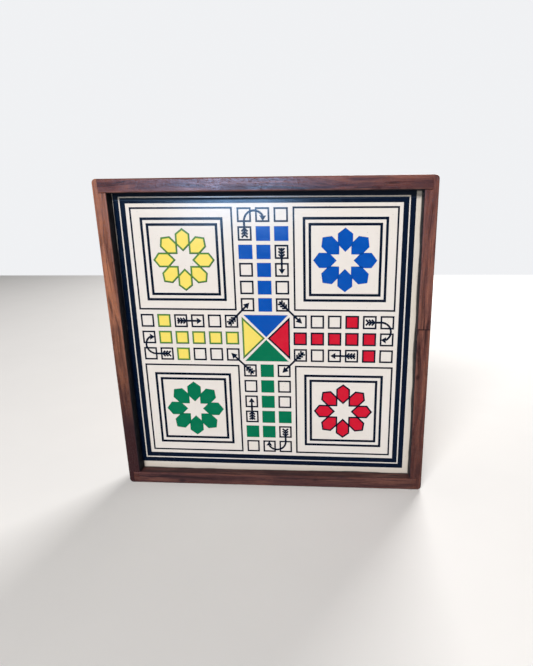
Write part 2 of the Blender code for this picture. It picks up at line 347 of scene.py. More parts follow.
# Wood figure: the grain runs along local Z. Broad bands of heartwood, streaks, veins and pores.
VEIN_DARK, PORE_DARK = (0.020, 0.008, 0.007), (0.012, 0.006, 0.005)
figure, given, out = shader_group(
    "wood_figure",
    [("Vector", "Vector", None), ("Pale", "Color", None), ("Middle", "Color", None),
     ("Dark", "Color", None), ("Streaks", "Float", 0.6), ("Pores", "Float", 0.5),
     ("Veins", "Float", 0.0), ("Band Scale", "Float", 1.0)],
    [("Colour", "Color"), ("Gloss Loss", "Float"), ("Height", "Float")])
bent = wire(figure, "ShaderNodeTexNoise", {"Vector": given["Vector"], "Scale": 3.0})
swing = wire(figure, "ShaderNodeVectorMath", {0: bent.outputs["Color"], 1: (0.5, 0.5, 0.5)},
             operation="SUBTRACT").outputs[0]
drift = drawn_out(figure, swing, (0.044, 0.044, 0.0))
moved = wire(figure, "ShaderNodeVectorMath", {0: given["Vector"], 1: drift},
             operation="ADD").outputs[0]
banded = drawn_out(figure, moved, (1.0, 1.0, 0.045))
wide = wire(figure, "ShaderNodeVectorMath", {0: banded, "Scale": given["Band Scale"]},
            operation="SCALE").outputs[0]
band = ramp(figure, mottled(figure, wide, 75.0, 4.0, 0.6, 0.8), 0.34, 0.66)
fibres = mottled(figure, drawn_out(figure, moved, (1.0, 1.0, 0.02)), 700.0, 3.0, 0.7)
veins = mottled(figure, drawn_out(figure, moved, (1.0, 1.0, 0.012)), 210.0, bent=0.4)
pores = mottled(figure, drawn_out(figure, given["Vector"], (1.0, 1.0, 0.09)), 1100.0, 1.0)
streak = times(figure, ramp(figure, fibres, 0.42, 0.70), given["Streaks"])
vein = times(figure, ramp(figure, veins, 0.55, 0.66), given["Veins"])
pore = times(figure, ramp(figure, pores, 0.60, 0.72), given["Pores"])
colour = blend_colours(figure, ramp(figure, band, 0.0, 0.5), given["Dark"], given["Middle"])
for share, tone in ((ramp(figure, band, 0.5, 1.0), given["Pale"]), (streak, given["Dark"]),
                    (vein, VEIN_DARK), (pore, PORE_DARK)):
    colour = blend_colours(figure, share, colour, tone)
figure.links.new(colour, out["Colour"])
figure.links.new(times(figure, sums(figure, "ADD", streak, pore), 0.5), out["Gloss Loss"])
figure.links.new(sums(figure, "SUBTRACT", times(figure, streak, -0.25), pore), out["Height"])

# Handling: the smudges and dull patches that any lacquered surface picks up.
handling, given, out = shader_group(
    "handling", [("Vector", "Vector", None), ("Patch Scale", "Float", 30.0)],
    [("Smudge", "Float")])
smudges = mottled(handling, given["Vector"], given["Patch Scale"], 5.0)
handling.links.new(ramp(handling, smudges, 0.35, 0.70), out["Smudge"])


def smudge_on(tree, at, scale):
    return wire(tree, "ShaderNodeGroup", {"Vector": at, "Patch Scale": scale},
                node_tree=handling).outputs["Smudge"]


def grain_on(tree, at, tones, **more):
    """The wood figure in three tones, pale to dark; more holds its other inputs."""
    inputs = {"Vector": at}
    for socket, tone in zip(("Pale", "Middle", "Dark"), tones):
        inputs[socket] = (*tone, 1.0)
    for socket, value in more.items():
        inputs[socket.replace("_", " ")] = value
    return wire(tree, "ShaderNodeGroup", inputs, node_tree=figure).outputs


def surfaced(tree, shader, colour, roughness, height, strength, depth=0.0003):
    """Link what varies over a surface: its colour, its roughness and its fine relief."""
    relief = wire(tree, "ShaderNodeBump", {"Height": height, "Strength": strength,
                                           "Distance": depth})
    for socket, value in (("Base Color", colour), ("Roughness", roughness),
                          ("Normal", relief.outputs["Normal"])):
        tree.links.new(value, shader.inputs[socket])


FOOT_DIRT_AND_SHADE = 0.34               # handling, damp and painted shadow darken the wood up to here
# Colour of that darkening: dirt, and painted shadow.
DIRT_AND_SHADE = (0.042, 0.016, 0.018)
# Painted shade on the frame's inner walls, tinted navy as a painted reflection of the print.
RECESS_SHADE = (0.004, 0.006, 0.014)     # painted shade and reflection on the inner walls


def rail_finish(name, turn, move, tones, joint=None, dirt_and_shade=0.50, figured=(0.75, 0.70, 0.80),
                knots=()):
    """Lacquered hardwood; edge_wear marks the roundings, where the lacquer has rubbed thin."""
    made, tree, shader = finish_of(name, Specular_IOR_Level=0.50)
    at, straight = object_coordinates(tree, turn, move), object_coordinates(tree)
    place = wire(tree, "ShaderNodeSeparateXYZ", {"Vector": straight}).outputs
    streaks, pores, veins = figured
    grain = grain_on(tree, at, tones, Streaks=streaks, Pores=pores, Veins=veins)
    smudge = smudge_on(tree, at, 26.0)
    bared = [share * 1.1 for share in tones[0]]
    grime = [share * 0.55 for share in tones[2]]
    edge = wire(tree, "ShaderNodeAttribute", attribute_name="edge_wear").outputs["Fac"]
    rubbed = times(tree, edge, ramp(tree, smudge, 0.2, 0.9, 0.0, 0.60))
    colour = blend_colours(tree, rubbed, grain["Colour"], bared)
    colour = blend_colours(tree, times(tree, smudge, 0.30), colour, grime)
    # Darker toward the foot: handling dirt, and painted shadow, strongest on the left rail.
    colour = blend_colours(tree, ramp(tree, place["Z"], FOOT_DIRT_AND_SHADE, 0.0, 0.0, dirt_and_shade), colour, DIRT_AND_SHADE)
    # Painted shade on the frame's inner walls; less on the bottom wall, which faces the light.
    above = sums(tree, "SUBTRACT", place["Z"], BOARD / 2)
    outwards = sums(tree, "MAXIMUM", sums(tree, "ABSOLUTE", place["X"]), above)
    ragged = ramp(tree, grain["Height"], -0.6, 0.0, -0.0008, 0.0008)
    inwards = ramp(tree, sums(tree, "ADD", outwards, ragged), INNER + 0.0034, INNER + 0.0014)
    recess_shade = times(tree, inwards, ramp(tree, place["Y"], -HALF_DEPTH, -HALF_DEPTH + 0.0012))
    lit = ramp(tree, place["Z"], RAIL_WIDTH + 0.0010, RAIL_WIDTH + 0.0060, 0.25, 0.97)
    front = ramp(tree, place["Y"], 0.0, 0.0010, 1.0, 0.35)
    colour = blend_colours(tree, times(tree, times(tree, recess_shade, lit), front), colour, RECESS_SHADE)
    for x, z, size, run in knots:
        off = wire(tree, "ShaderNodeVectorMath",
                   {0: drawn_out(tree, straight, run), 1: (x * run[0], 0.0, z * run[2])},
                   operation="DISTANCE").outputs["Value"]
        uneven = sums(tree, "ADD", off, ramp(tree, smudge, 0.0, 1.0, -0.0006, 0.0006))
        knot = ramp(tree, uneven, size, size * 0.35, 0.0, 0.85)
        colour = blend_colours(tree, knot, colour, grime)
    if joint:
        beyond = sums(tree, "ABSOLUTE", sums(tree, "SUBTRACT", place["Z"], joint))
        colour = blend_colours(tree, ramp(tree, beyond, 0.0022, 0.0007, 0.0, 0.80), colour, grime)
    dull = sums(tree, "ADD", times(tree, grain["Gloss Loss"], 0.25),
                ramp(tree, smudge, 0.0, 1.0, 0.20, 0.34))
    unpolished = sums(tree, "MAXIMUM", times(tree, inwards, 0.45), times(tree, rubbed, 0.20))
    peel = times(tree, mottled(tree, at, 300.0), 0.9)
    surfaced(tree, shader, colour, sums(tree, "ADD", dull, unpolished),
             sums(tree, "ADD", grain["Height"], peel), 0.45)
    return made


UPRIGHT, LEVEL = (0.0, 0.0, 0.0), (0.0, math.pi / 2, 0.0)      # turns the grain to Z, or to X
ORANGE_BROWN = ((0.460, 0.184, 0.100), (0.315, 0.122, 0.068), (0.110, 0.038, 0.025))
RED_BROWN = ((0.330, 0.128, 0.080), (0.180, 0.065, 0.049), (0.046, 0.016, 0.016))
PLUM = ((0.275, 0.108, 0.076), (0.160, 0.058, 0.048), (0.048, 0.017, 0.020))
# A knot is its place across and up, its radius, and the shares of the axes that draw it long.
LOWER_KNOTS = ((0.3095, 0.2640, 0.0052, (1.0, 0.0, 0.60)),)
BOTTOM_KNOTS = ((-0.207, 0.0080, 0.0056, (0.60, 0.0, 1.0)),
                (0.096, 0.0190, 0.0030, (0.40, 0.0, 1.0)))
finishes = {
    # The left rail's foot is darkened far more, mostly by painted shadow.
    "rail_left": rail_finish("lacquered_rail_left", UPRIGHT, (0.13, 0.4, 0.2), ORANGE_BROWN,
                             dirt_and_shade=1.70, figured=(0.60, 0.60, 0.50)),
    "rail_right_lower": rail_finish("lacquered_rail_right_lower", UPRIGHT, (0.77, 0.1, 1.3),
                                    RED_BROWN, SPLICE_HEIGHT, knots=LOWER_KNOTS),
    "rail_right_upper": rail_finish("lacquered_rail_right_upper", UPRIGHT, (1.61, 0.3, 2.4), PLUM,
                                    SPLICE_HEIGHT),
    "rail_bottom": rail_finish("lacquered_rail_bottom", LEVEL, (0.21, 0.9, 3.1), RED_BROWN,
                               figured=(1.0, 0.80, 1.0), knots=BOTTOM_KNOTS),
    "rail_top": rail_finish("lacquered_rail_top", LEVEL, (0.52, 1.7, 4.6), PLUM),
}
FOOT, HEAD = ("lapped", 0.0), ("lapped", BOARD)
UNDER, OVER = ("butted", SPLICE_HEIGHT - GAP / 2), ("butted", SPLICE_HEIGHT + GAP / 2)
outlines = {
    "rail_left": lambda inset, groove: side_rail_outline(-1, FOOT, HEAD, inset, groove, 1.0),
    "rail_right_lower": lambda inset, groove: side_rail_outline(1, FOOT, UNDER, inset, groove, 2.0),
    "rail_right_upper": lambda inset, groove: side_rail_outline(1, OVER, HEAD, inset, groove, 3.0),
    "rail_bottom": lambda inset, groove: cross_rail_outline(0.0, -1, inset, groove, 4.0),
    "rail_top": lambda inset, groove: cross_rail_outline(BOARD - RAIL_WIDTH, 1, inset, groove, 6.0),
}

# The bores for the nails and dowels are drilled before the frame goes together.
NAIL_RADIUS, NAIL_LENGTH = 0.0014, 0.0420
NAIL_HEAD_RADIUS, NAIL_HEAD, NAIL_SINK = 0.0027, 0.0012, 0.0004
DOWEL_RADIUS = 0.0040
ROUND_STEPS = 24               # sides of a nail and of a bore


def turned(profile, axis, steps, place=(0.0, 0.0, 0.0), flip=1.0):
    """A turned solid along X, Y or Z, from (distance along the axis, radius) pairs."""
    rings = []
    for along, radius in profile:
        ring = []
        for step in range(steps):
            turn = 2 * math.pi * step / steps
            point = [radius * math.cos(turn), radius * math.sin(turn)]
            point.insert("XYZ".index(axis), along * flip)
            ring.append(tuple(a + b for a, b in zip(point, place)))
        rings.append(ring)
    return joined_rings(rings)


NAIL_HEIGHTS = {"bottom": RAIL_WIDTH / 2, "top": BOARD - RAIL_WIDTH / 2}
NAIL_DEPTHS = {"front": (LUDO_FACE - HALF_DEPTH) / 2, "back": (CARROM_FACE + HALF_DEPTH) / 2}
nail_spots = {}
for end, height in NAIL_HEIGHTS.items():
    for hand, side in (("left", -1), ("right", 1)):
        for face, depth in NAIL_DEPTHS.items():
            nail_spots[f"nail_{end}_{hand}_{face}"] = (side, (side * HALF, depth, height))

HEAD_UNDER, NAIL_END = NAIL_SINK + NAIL_HEAD, NAIL_SINK + NAIL_LENGTH
NAIL_BORE = ((-NAIL_HEAD, NAIL_HEAD_RADIUS + GAP), (HEAD_UNDER + GAP, NAIL_HEAD_RADIUS + GAP),
             (HEAD_UNDER + GAP, NAIL_RADIUS + GAP), (NAIL_END + GAP, NAIL_RADIUS + GAP))
drills = [turned(NAIL_BORE, "X", ROUND_STEPS, spot, -side) for side, spot in nail_spots.values()]
for name in ("splice_dowel_front", "splice_dowel_back"):
    low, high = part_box(name)
    reach = (high.z - low.z) / 2 + GAP
    drills.append(turned(((-reach, DOWEL_RADIUS + GAP), (reach, DOWEL_RADIUS + GAP)), "Z",
                         ROUND_STEPS, (low + high) / 2))
all_bores = bmesh.new()
for drill in drills:
    part = mesh_of(drill, "drill")
    all_bores.from_mesh(part)
    bpy.data.meshes.remove(part)
bores = solid("bores", all_bores)


def worked_out(piece, name):
    """The plain mesh of a piece with its modifiers worked in; the piece itself goes."""
    bpy.context.view_layer.update()
    evaluated = piece.evaluated_get(bpy.context.evaluated_depsgraph_get())
    mesh = bpy.data.meshes.new_from_object(evaluated)
    mesh.name = name
    bpy.data.objects.remove(piece, do_unlink=True)
    return mesh


def coated(mesh, finish):
    """Give the mesh one finish all over."""
    mesh.materials.clear()
    mesh.materials.append(finish)
    return mesh


for name, outline_at in outlines.items():
    blank = solid(name + "_blank", rail_mesh(outline_at), finishes[name])
    drill = blank.modifiers.new("drilled", "BOOLEAN")
    drill.operation, drill.solver, drill.object = "DIFFERENCE", "EXACT", bores
    drilled = worked_out(blank, name + "_lacquered")
    rail = set_down(name + "_lacquered", coated(drilled, finishes[name]))
    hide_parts(name)
    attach(rail, "root")
bpy.data.objects.remove(bores, do_unlink=True)


# ---------------------------------------------------------------------------------------------
# Ludo sheet: thin plywood painted off-white, printed, and varnished over the print. Its edges sit
# in the rails' front grooves.

GROUND = (0.740, 0.710, 0.690)
SMUDGED = (0.720, 0.670, 0.590)
# Painted shadow of the rails on the sheet.
RAIL_SHADOW = (0.640, 0.580, 0.480)
VEIN = (0.700, 0.660, 0.600)
# Specks of dirt, and painted shade in the crease against the rails.
SPECK, CREASE_SHADE = (0.020, 0.030, 0.060), (0.030, 0.027, 0.028)
ludo_ground, tree, shader = finish_of("ludo_ground", Specular_IOR_Level=0.40)
at = object_coordinates(tree)
smudge = smudge_on(tree, at, 9.0)
veins = mottled(tree, drawn_out(tree, at, (1.0, 1.0, 0.03)), 240.0, 4.0)
specks = mottled(tree, at, 420.0, 1.0)
# Painted shadow darkens the sheet toward the rails, and painted shade lies right against them.
place = wire(tree, "ShaderNodeSeparateXYZ", {"Vector": at}).outputs
above = sums(tree, "ABSOLUTE", sums(tree, "SUBTRACT", place["Z"], BOARD / 2))
reach = sums(tree, "ADD", sums(tree, "MAXIMUM", sums(tree, "ABSOLUTE", place["X"]), above),
             ramp(tree, smudge, 0.0, 1.0, -0.0016, 0.0012))
colour = blend_colours(tree, times(tree, smudge, 0.30), GROUND, SMUDGED)
for share, tone in ((ramp(tree, reach, INNER - 0.0300, INNER - 0.0060, 0.0, 0.55), RAIL_SHADOW),
                    (ramp(tree, veins, 0.35, 0.75, 0.0, 0.12), VEIN),
                    (ramp(tree, specks, 0.745, 0.765, 0.0, 0.75), SPECK),
                    (ramp(tree, reach, INNER - 0.0026, INNER - 0.0012, 0.0, 0.92), CREASE_SHADE)):
    colour = blend_colours(tree, share, colour, tone)
surfaced(tree, shader, colour, ramp(tree, smudge, 0.0, 1.0, 0.17, 0.27), veins, 0.25)
coated(nodes["ludo_panel"].data, ludo_ground)


# ---------------------------------------------------------------------------------------------
# Ludo print: screen-printed inks. Navy line work goes on first, the four colours over it, so the
# blue and green hide their outlines, the yellow tints them, and the red lies inside them.
# All of it is drawn for the left arm and the home above it, then turned round in quarters.

PITCH = 0.03597                # from one cell to the next along an arm
ACROSS = 0.03651               # from one row of cells to the next
CELL = 0.02820                 # outside of a cell's line
LINE = 0.00360
FIRST = 2 * PITCH              # middle of the sheet to the middle of the nearest cell
COLUMNS = 6
HOME = 0.1633                  # middle of the sheet to the middle of a home, both ways
# Each frame and band is the outside of a square and the width of its line.
HOME_FRAMES = ((0.2072, 0.0036), (0.1680, 0.0053), (0.1453, 0.0053))
BANDS = ((0.5686, 0.0104), (0.5950, 0.0106))
COAT = 0.00008                 # ink thickness
BED = 0.00002                  # the ink's underside lies this deep in the paint
# Films that lie over others are a little thicker, so that no two share a face.
SHAFT_COAT, HEAD_COAT, FEATHER_COAT = COAT * 1.2, COAT * 1.3, COAT * 1.15
COLOUR_COAT, OLIVE_COAT = COAT * 1.8, COAT * 1.6
PRINT_MIDDLE = (-0.0060, 0.3394)
PRINT_TURN = math.radians(-0.28)
QUARTERS, PETALS = 4, 8


def mitred(before, here, after, distance):
    """The point to the left of a corner that lies at this distance from both of its sides."""
    first, second = (here - before).normalized(), (after - here).normalized()
    first, second = Vector((-first.y, first.x)), Vector((-second.y, second.x))
    return tuple(here + (first + second) * distance / (1.0 + first.dot(second)))


def drawn_in(outline, distance):
    """The outline, listed counterclockwise, moved inwards by the distance on every side."""
    corners = [Vector(point) for point in outline]
    ahead = corners[1:] + corners[:1]
    return [mitred(before, here, after, distance)
            for before, here, after in zip(corners[-1:] + corners, corners, ahead)]


def coat(bm, outer, inner=None, top=COAT):
    """A closed film of ink: a filled outline, or the band between two outlines."""
    levels = [(outer, -BED), (outer, top)] + ([(inner, top), (inner, -BED)] if inner else [])
    rings = [[bm.verts.new((x, y, level)) for x, y in outline] for outline, level in levels]
    count = len(outer)
    for near, far in zip(rings, rings[1:] + (rings[:1] if inner else [])):
        for here in range(count):
            after = (here + 1) % count
            bm.faces.new((near[here], near[after], far[after], far[here]))
    if not inner:
        bm.faces.new(list(reversed(rings[0])))
        bm.faces.new(rings[1])


def rectangle(centre_x, centre_y, width, height):
    x, y = width / 2, height / 2
    return [(centre_x - x, centre_y - y), (centre_x + x, centre_y - y),
            (centre_x + x, centre_y + y), (centre_x - x, centre_y + y)]


def stroke(bm, path, width, top=COAT):
    """A drawn line of even width along a path of points."""
    path = [Vector(point) for point in path]
    behind = [2 * path[0] - path[1]] + path[:-1]
    ahead = path[1:] + [2 * path[-1] - path[-2]]
    left, right = [[mitred(before, here, after, side * width / 2)
                    for before, here, after in zip(behind, path, ahead)] for side in (1, -1)]
    coat(bm, right + left[::-1], top=top)


def geometry_tree(name, sizes):
    """A tree that takes a stamp, with named inputs for its counts and spacings."""
    tree = bpy.data.node_groups.new(name, "GeometryNodeTree")
    tree.interface.new_socket(name="Stamp", in_out="INPUT", socket_type="NodeSocketGeometry")
    for label, kind in sizes:
        tree.interface.new_socket(name=label, in_out="INPUT", socket_type="NodeSocket" + kind)
    tree.interface.new_socket(name="Finish", in_out="INPUT", socket_type="NodeSocketMaterial")
    tree.interface.new_socket(name="Result", in_out="OUTPUT", socket_type="NodeSocketGeometry")
    return tree, tree.nodes.new("NodeGroupInput").outputs


def stamped_on(tree, given, points, rotation=None):
    """Set the stamp on every point, make the copies real, and give them their finish."""
    inputs = {"Points": points, "Instance": given["Stamp"]}
    if rotation is not None:
        inputs["Rotation"] = rotation
    copies = wire(tree, "GeometryNodeInstanceOnPoints", inputs)
    real = wire(tree, "GeometryNodeRealizeInstances", {"Geometry": copies.outputs["Instances"]})
    done = wire(tree, "GeometryNodeSetMaterial", {"Geometry": real.outputs["Geometry"],
                                                  "Material": given["Finish"]})
    wire(tree, "NodeGroupOutput", {"Result": done.outputs["Geometry"]})


def repeated(mesh, tree, finish, **values):
    """Run the tree on a stamp and give back the plain mesh."""
    stamp = set_down("stamp", mesh)
    repeat = stamp.modifiers.new("repeat", "NODES")
    repeat.node_group = tree
    values["Finish"] = finish
    for item in tree.interface.items_tree:
        if item.item_type == "SOCKET" and item.name.replace(" ", "_") in values:
            repeat[item.identifier] = values[item.name.replace(" ", "_")]
    return worked_out(stamp, "repeated")


# Tree for an arm's cells: columns away from the middle of the sheet, rows side by side.
cells_tree, given = geometry_tree("cells_of_an_arm", [
    ("Columns", "Int"), ("Rows", "Int"), ("Pitch", "Float"), ("Row Pitch", "Float"),
    ("First Distance", "Float")])
span = sums(cells_tree, "MULTIPLY", sums(cells_tree, "SUBTRACT", given["Columns"], 1.0),
            given["Pitch"])
breadth = sums(cells_tree, "MULTIPLY", sums(cells_tree, "SUBTRACT", given["Rows"], 1.0),
               given["Row Pitch"])
grid = wire(cells_tree, "GeometryNodeMeshGrid", {
    "Size X": span, "Size Y": breadth, "Vertices X": given["Columns"],
    "Vertices Y": given["Rows"]})
middle = sums(cells_tree, "ADD", sums(cells_tree, "MULTIPLY", span, 0.5), given["First Distance"])
offset = wire(cells_tree, "ShaderNodeCombineXYZ",
              {"X": sums(cells_tree, "MULTIPLY", middle, -1.0)})
arm = wire(cells_tree, "GeometryNodeTransform", {"Geometry": grid.outputs["Mesh"],
                                                 "Translation": offset.outputs["Vector"]})
stamped_on(cells_tree, given, arm.outputs["Geometry"])

# Tree for whatever goes round a middle: petals, quarters of the sheet.
round_tree, given = geometry_tree("turned_round_the_middle", [("Count", "Int")])
line = wire(round_tree, "GeometryNodeMeshLine", {"Count": given["Count"],
                                                 "Offset": (0.0, 0.0, 0.0)})
number = wire(round_tree, "GeometryNodeInputIndex")
angle = sums(round_tree, "MULTIPLY", number.outputs["Index"],
             sums(round_tree, "DIVIDE", -2 * math.pi, given["Count"]))
about = wire(round_tree, "ShaderNodeCombineXYZ", {"Z": angle})
euler = wire(round_tree, "FunctionNodeEulerToRotation", {"Euler": about.outputs["Vector"]})
stamped_on(round_tree, given, line.outputs["Mesh"], euler.outputs["Rotation"])

# Tree for things in a row, such as the feathers on an arrow.
row_tree, given = geometry_tree("in_a_row", [("Count", "Int"), ("Pitch", "Float")])
step = wire(row_tree, "ShaderNodeCombineXYZ", {"X": given["Pitch"]})
line = wire(row_tree, "GeometryNodeMeshLine", {"Count": given["Count"],
                                               "Offset": step.outputs["Vector"]})
stamped_on(row_tree, given, line.outputs["Mesh"])

# Inks: a thin, slightly uneven, glossy film with pinholes where the screen left none.
UNDER_TOP_RAIL = BOARD - RAIL_WIDTH
ink_film, given, out = shader_group(
    "ink_film", [("Vector", "Vector", None), ("Ink", "Color", None), ("Thin", "Color", None)],
    [("Colour", "Color"), ("Roughness", "Float"), ("Height", "Float")])
cloud = mottled(ink_film, given["Vector"], 55.0, 5.0, 0.6)
pits = mottled(ink_film, given["Vector"], 520.0)
thin = sums(ink_film, "MAXIMUM", ramp(ink_film, cloud, 0.45, 0.85, 0.0, 0.30),
            ramp(ink_film, pits, 0.70, 0.76, 0.0, 0.65))
polish = ramp(ink_film, cloud, 0.3, 0.8, 0.14, 0.22)
# Close under the top rail the cloth never reached, and the ink has stayed dull.
place = wire(ink_film, "ShaderNodeSeparateXYZ", {"Vector": given["Vector"]}).outputs
unpolished = ramp(ink_film, place["Z"], UNDER_TOP_RAIL - 0.0150, UNDER_TOP_RAIL - 0.0100, 0.0, 0.70)
ink_film.links.new(blend_colours(ink_film, thin, given["Ink"], given["Thin"]), out["Colour"])
ink_film.links.new(sums(ink_film, "ADD", polish, unpolished), out["Roughness"])
ink_film.links.new(pits, out["Height"])


def ink(name, colour, thin):
    made, tree, shader = finish_of(name, Specular_IOR_Level=0.45)
    film = wire(tree, "ShaderNodeGroup",
                {"Vector": object_coordinates(tree), "Ink": (*colour, 1.0), "Thin": (*thin, 1.0)},
                node_tree=ink_film).outputs
    surfaced(tree, shader, film["Colour"], film["Roughness"], film["Height"], 0.30)
    return made


navy_ink = ink("ludo_ink_navy", (0.0010, 0.0060, 0.0230), (0.006, 0.020, 0.050))

SHAFT, HEAD_LENGTH, HEAD_HALF = 0.0042, 0.0108, 0.0070
HEAD_NOTCH = 0.95              # share of a head's length at which its base is cut in
FEATHERS, FEATHER_PITCH, FEATHER_HALF, FEATHER_SWEEP = 3, 0.0060, 0.0062, 0.0056
FEATHER_LINE = SHAFT * 0.90


def arrow_head(bm, tip, heading, length, half):
    """A filled triangle; heading is the direction that it points in, in degrees."""
    turn = math.radians(heading)
    ahead = Vector((math.cos(turn), math.sin(turn)))
    aside = Vector((-math.sin(turn), math.cos(turn)))
    tip = Vector(tip)
    points = [tip, tip - ahead * length + aside * half, tip - ahead * length * HEAD_NOTCH,
              tip - ahead * length - aside * half]
    coat(bm, [tuple(point) for point in points], top=HEAD_COAT)


def feathers(bm, start, heading):
    """Three swept chevrons on the tail, which point the way the arrow flies."""
    chevron = bmesh.new()
    stroke(chevron, [(0.0, FEATHER_HALF), (FEATHER_SWEEP, 0.0), (0.0, -FEATHER_HALF)],
           FEATHER_LINE, top=FEATHER_COAT)
    mesh = repeated(mesh_of(chevron, "chevron"), row_tree, navy_ink, Count=FEATHERS,
                    Pitch=FEATHER_PITCH)
    mesh.transform(Matrix.Translation((*start, 0.0)) @ Matrix.Rotation(
        math.radians(heading), 4, "Z"))
    bm.from_mesh(mesh)
    bpy.data.meshes.remove(mesh)


quarter = bmesh.new()
cell = bmesh.new()
outline = rectangle(0.0, 0.0, CELL, CELL)
coat(cell, outline, drawn_in(outline, LINE))
cells = repeated(mesh_of(cell, "cell"), cells_tree, navy_ink, Columns=COLUMNS, Rows=3, Pitch=PITCH,
                 Row_Pitch=ACROSS, First_Distance=FIRST)
quarter.from_mesh(cells)
for size, width in HOME_FRAMES:
    outline = rectangle(-HOME, HOME, size, size)
    coat(quarter, outline, drawn_in(outline, width))

# Petals: long hexagons round a star that shows the sheet.
PETAL = ((0.0170, 0.0), (0.0317, -0.0149), (0.0522, -0.0149), (0.0635, 0.0), (0.0522, 0.0149),
         (0.0317, 0.0149))
TO_HOME = Matrix.Translation((-HOME, HOME, 0.0))
petal = bmesh.new()
coat(petal, PETAL, drawn_in(PETAL, LINE))
petals = repeated(mesh_of(petal, "petal"), round_tree, navy_ink, Count=PETALS)
petals.transform(TO_HOME)
quarter.from_mesh(petals)

# Centre: four triangles parted by the white diagonals.
CENTRE = 0.0504
TRIANGLE = ((-CENTRE, -CENTRE + 0.0040), (-0.0029, 0.0), (-CENTRE, CENTRE - 0.0040))
coat(quarter, TRIANGLE, drawn_in(TRIANGLE, LINE))

# Straight arrow in the top row, diagonal arrow to the next arm, and the curved one at the end.
tail, head = -5.23 * PITCH, -3.76 * PITCH
stroke(quarter, [(tail, ACROSS), (head - HEAD_LENGTH / 2, ACROSS)], SHAFT, top=SHAFT_COAT)
arrow_head(quarter, (head, ACROSS), 0.0, HEAD_LENGTH, HEAD_HALF)
feathers(quarter, (tail + 0.0010, ACROSS), 0.0)

slope = 45.0
start = Vector((-2.19 * PITCH, 0.82 * PITCH))
end = Vector((-0.905 * PITCH, 2.124 * PITCH))
stroke(quarter, [start, start.lerp(end, 0.93)], SHAFT, top=SHAFT_COAT)
arrow_head(quarter, end, slope, HEAD_LENGTH * 1.2, HEAD_HALF)
feathers(quarter, start.lerp(end, 0.03), slope)

bend_x, bend_y, bend = -6.66 * PITCH, -0.46 * PITCH, 0.56 * PITCH
path = [(-5.85 * PITCH, -ACROSS)] + arc(bend_x, bend_y, bend, -90, -239, 24)
stroke(quarter, path, SHAFT, top=SHAFT_COAT)
last = Vector(path[-1])
arrow_head(quarter, (last.x + HEAD_LENGTH * 0.95, last.y - 0.0003), -2.0, HEAD_LENGTH, HEAD_HALF)
feathers(quarter, (-5.78 * PITCH, -ACROSS), 180.0)

artwork = repeated(mesh_of(quarter, "quarter"), round_tree, navy_ink, Count=QUARTERS)
line_work = bmesh.new()
line_work.from_mesh(artwork)
for size, width in BANDS:
    outline = rectangle(0.0, 0.0, size, size)
    coat(line_work, outline, drawn_in(outline, width))

ON_LUDO_FACE = (Matrix.Translation((PRINT_MIDDLE[0], LUDO_FACE, PRINT_MIDDLE[1]))
                @ Matrix.Rotation(math.pi / 2, 4, "X") @ Matrix.Rotation(PRINT_TURN, 4, "Z"))


def printed(name, bm, finish, place):
    """Lay artwork drawn flat onto a face of the board, as a piece of its own."""
    bm.transform(place)
    made = solid(name, bm, finish)
    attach(made, "root")


printed("ludo_print_navy", line_work, navy_ink, ON_LUDO_FACE)

# The four colours, in the order that the quarters turn: yellow left, blue top, red right, and
# green bottom.
FILLED = ((2, 1), (2, 0), (3, 0), (4, 0), (5, 0), (6, 0), (3, -1))   # column from the outside, row
# Each colour has its name, how it lies to the navy lines, and its ink at full strength and thin.
HIDING, INSIDE, TINTING = "hiding", "inside", "tinting"
COLOURS = (
    ("yellow", TINTING, (0.830, 0.680, 0.135), (0.850, 0.730, 0.220)),
    ("blue", HIDING, (0.000, 0.072, 0.410), (0.000, 0.120, 0.560)),
    ("red", INSIDE, (0.580, 0.006, 0.028), (0.660, 0.024, 0.050)),
    ("green", HIDING, (0.000, 0.160, 0.075), (0.004, 0.215, 0.105)))
MARGINS = {HIDING: 0.0, INSIDE: LINE * 0.97, TINTING: LINE}
SLIP = 0.00030                 # the colours landed this far to the right of the lines and below
TINT_SLIP = 0.00035            # the yellow landed this far to the left of the lines and above
TINT_MARGIN = LINE * 0.18      # strip of navy line that the yellow leaves bare
olive_ink = ink("ludo_ink_olive", (0.085, 0.230, 0.045), (0.130, 0.290, 0.060))

for quarter_number, (colour, manner, full, thin) in enumerate(COLOURS):
    finish = ink("ludo_ink_" + colour, full, thin)
    turn = Matrix.Rotation(-2 * math.pi * quarter_number / QUARTERS, 4, "Z")
    film = bmesh.new()
    shapes = [rectangle(-(FIRST + (COLUMNS - column) * PITCH), row * ACROSS, CELL, CELL)
              for column, row in FILLED]
    shapes.append(TRIANGLE)
    for shape in shapes:
        coat(film, drawn_in(shape, MARGINS[manner]), top=COLOUR_COAT)
    petal = bmesh.new()
    coat(petal, drawn_in(PETAL, MARGINS[manner]), top=COLOUR_COAT)
    petals = repeated(mesh_of(petal, "petal"), round_tree, finish, Count=PETALS)
    petals.transform(TO_HOME)
    film.from_mesh(petals)
    film.transform(turn)
    if manner == HIDING:
        film.transform(Matrix.Translation((SLIP, -SLIP, 0.0)))
    printed("ludo_print_" + colour, film, finish, ON_LUDO_FACE)
    if manner != TINTING:
        continue
    # Where the yellow lies over the navy lines the two make a dull green.
    overlap = bmesh.new()
    for step in range(PETALS):
        spin = Matrix.Rotation(2 * math.pi * step / PETALS, 2)
        shapes.append([spin @ Vector(point) + Vector((-HOME, HOME)) for point in PETAL])
    for shape in shapes:
        outer = [(x - TINT_SLIP, y + TINT_SLIP) for x, y in drawn_in(shape, TINT_MARGIN)]
        coat(overlap, outer, drawn_in(shape, LINE), top=OLIVE_COAT)
    overlap.transform(turn)
    printed("ludo_print_olive", overlap, olive_ink, ON_LUDO_FACE)


# ---------------------------------------------------------------------------------------------
# Carrom sheet and its markings: pale lacquered plywood with a pocket hole cut at each corner, and
# screen-printed in black and red. It is the thicker sheet and sits in the rails' back grooves.

